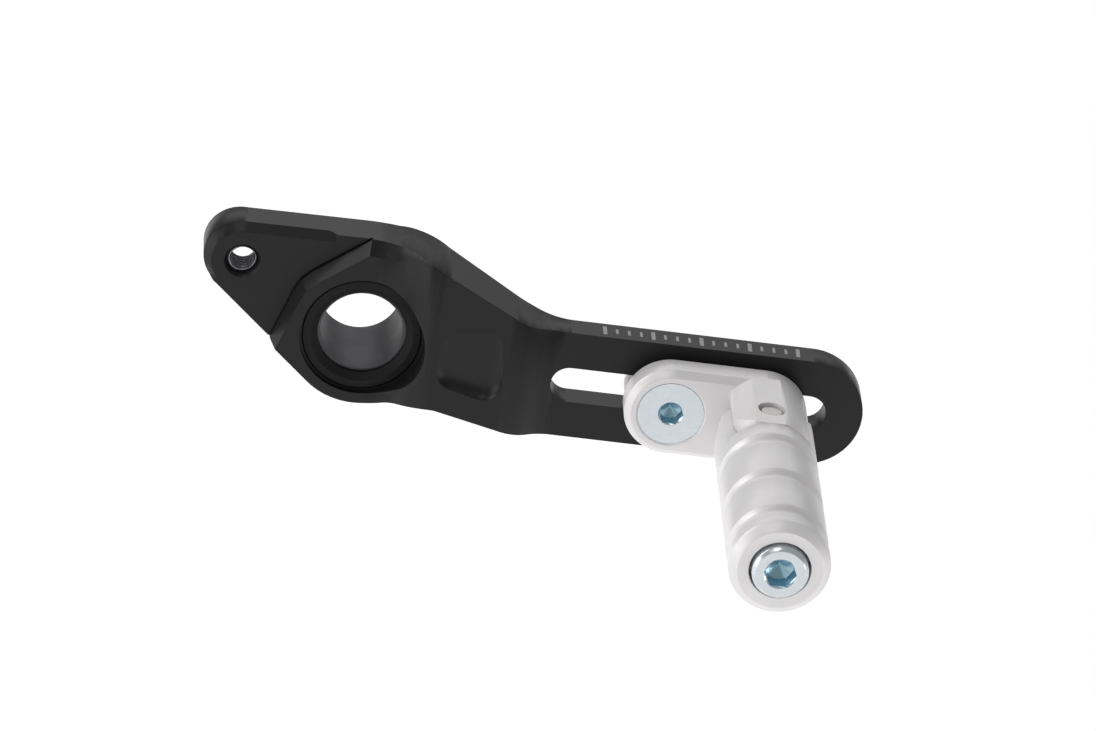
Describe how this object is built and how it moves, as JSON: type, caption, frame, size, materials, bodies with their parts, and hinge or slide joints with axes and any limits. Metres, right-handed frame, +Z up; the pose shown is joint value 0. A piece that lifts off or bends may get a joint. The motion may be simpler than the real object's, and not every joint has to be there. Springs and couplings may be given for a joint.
{
  "type": "gear shift lever",
  "caption": "Black motorcycle gear shift lever with a sealed pivot hub, a linkage lobe, a slotted arm and a silver round toe peg that slides along the slot and folds.",
  "frame": {"origin": "on the pivot axis, halfway along the hub", "axes": "+X runs along the slot towards the toe peg, +Y is the pivot axis pointing inboard to the motorcycle, +Z is up"},
  "size_m": [0.1217, 0.0914, 0.0318],
  "materials": {
    "lever_body": "satin black anodised",
    "pivot_bush": "drawn steel-backed bush",
    "front_seal": "matt black",
    "rear_seal": "matt black",
    "carrier": "fine satin, clear anodised",
    "clamp_screw": "bright zinc plated",
    "clamp_washer": "bright zinc plated",
    "clamp_nut": "bright zinc plated",
    "nut_nylon_ring": "natural nylon",
    "hinge_pin": "ground stainless",
    "peg_body": "fine satin, clear anodised",
    "detent_plunger": "hardened, ground",
    "detent_spring": "spring wire",
    "peg_end_screw": "bright zinc plated"
  },
  "bodies": {
    "lever": {"lever_body": "lever_body", "pivot_bush": "pivot_bush", "front_seal": "front_seal", "rear_seal": "rear_seal"},
    "carrier": {"carrier": "carrier", "clamp_screw": "clamp_screw", "clamp_washer": "clamp_washer", "clamp_nut": "clamp_nut", "nut_nylon_ring": "nut_nylon_ring", "hinge_pin": "hinge_pin"},
    "peg": {"peg_body": "peg_body", "peg_end_screw": "peg_end_screw", "detent_spring": "detent_spring"},
    "plunger": {"detent_plunger": "detent_plunger"}
  },
  "joints": [
    {"name": "carrier_slide", "type": "slide", "parent": "lever", "child": "carrier", "axis": [1, 0, 0], "range_m": [-0.013, 0.006]},
    {"name": "peg_fold", "type": "hinge", "parent": "carrier", "child": "peg", "pos_m": [0.0726, -0.0335, -0.0019], "axis": [0, 0, -1], "range_deg": [0, 90], "stiffness_Nm_per_rad": 0.35, "springref_deg": -20.05},
    {"name": "plunger_slide", "type": "slide", "parent": "peg", "child": "plunger", "axis": [0, -1, 0], "range_m": [0, 0.0023], "deforming": ["detent_spring"]}
  ],
  "couplings": [
    {"joint": "plunger_slide", "follows": "peg_fold", "m_per_rad": 0.0014}
  ]
}
